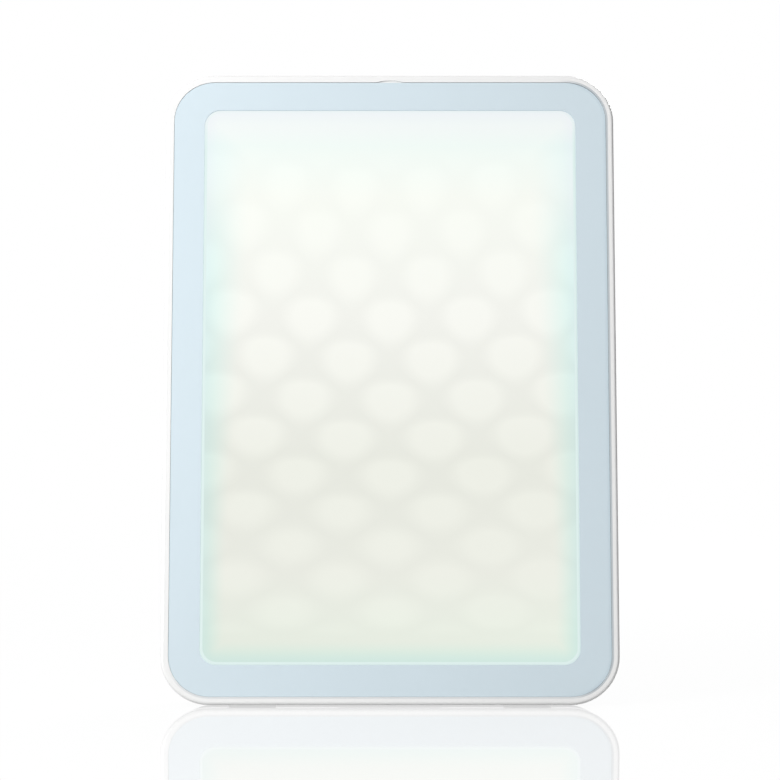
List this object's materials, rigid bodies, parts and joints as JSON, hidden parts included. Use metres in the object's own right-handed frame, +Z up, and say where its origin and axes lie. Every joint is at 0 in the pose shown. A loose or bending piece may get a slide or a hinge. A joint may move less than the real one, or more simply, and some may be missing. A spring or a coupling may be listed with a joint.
{
  "type": "light therapy lamp",
  "caption": "Tablet-shaped light therapy lamp with a lit opal window in a pale blue border, a white drafted housing, a fold-out leg and a rear power button.",
  "frame": {"origin": "on the table, under the middle of the whole lamp as it stands with its leg open", "axes": "+Z up, -Y the way the lit window faces, +X to the right as seen from the front"},
  "size_m": [0.25, 0.1526, 0.3452],
  "materials": {
    "bezel_white": "white moulded plastic, polished",
    "border_blue": "pale blue-grey plastic with a fine satin texture",
    "window_opal": "opal acrylic, softly lit from behind",
    "tape_grey": "foam adhesive tape",
    "diffuser_white": "frosted diffuser sheet",
    "tray_white": "matt white reflective tray",
    "led_yellow": "phosphor over a white package",
    "board_white": "white solder mask on a metal-core board",
    "plate_aluminium": "plain rolled aluminium",
    "screw_steel": "zinc-plated steel",
    "connector_white": "natural nylon",
    "lead_white": "PVC insulation",
    "cover_white": "white moulded plastic with a fine spark texture",
    "foot_rubber": "grey rubber",
    "board_green": "green solder mask",
    "ferrite_black": "coated ferrite",
    "can_aluminium": "aluminium can",
    "chip_black": "moulded epoxy",
    "plunger_grey": "moulded plastic",
    "button_white": "white moulded plastic, satin",
    "jack_black": "black moulded plastic",
    "contact_nickel": "nickel-plated brass",
    "lead_black": "PVC insulation",
    "clip_nylon": "natural nylon",
    "leg_white": "white moulded plastic with a fine spark texture",
    "pin_steel": "ground steel rod"
  },
  "bodies": {
    "housing": {"front_bezel": "bezel_white", "border_frame": "border_blue", "front_panel": "window_opal", "panel_tape": "tape_grey", "diffuser_sheet": "diffuser_white", "reflector_tray": "tray_white", "led_chips": "led_yellow", "led_board": "board_white", "heat_plate": "plate_aluminium", "board_screws": "screw_steel", "led_connector": "connector_white", "led_leads": "lead_white", "back_cover": "cover_white", "cover_screws": "screw_steel", "foot_pads": "foot_rubber", "driver_board": "board_green", "driver_screws": "screw_steel", "power_inductor": "ferrite_black", "capacitors": "can_aluminium", "driver_chips": "chip_black", "lead_headers": "connector_white", "lead_plugs": "connector_white", "switch_body": "chip_black", "dc_jack": "jack_black", "jack_pin": "contact_nickel", "jack_nut": "contact_nickel", "jack_tags": "contact_nickel", "dc_leads": "lead_black", "lead_clips": "clip_nylon", "hinge_pin": "pin_steel", "pin_plugs": "cover_white"},
    "leg": {"stand_leg": "leg_white", "leg_pad": "foot_rubber"},
    "power_button": {"button_cap": "button_white", "switch_plunger": "plunger_grey"}
  },
  "joints": [
    {"name": "leg_fold", "type": "hinge", "parent": "housing", "child": "leg", "pos_m": [0, 0.02504, 0.20866], "axis": [-1, 0, 0], "range_deg": [0, 30]},
    {"name": "button_press", "type": "slide", "parent": "housing", "child": "power_button", "axis": [0, -0.9563, 0.2924], "range_m": [0, 0.0011], "stiffness_N_per_m": 700, "springref_m": -0.001}
  ]
}
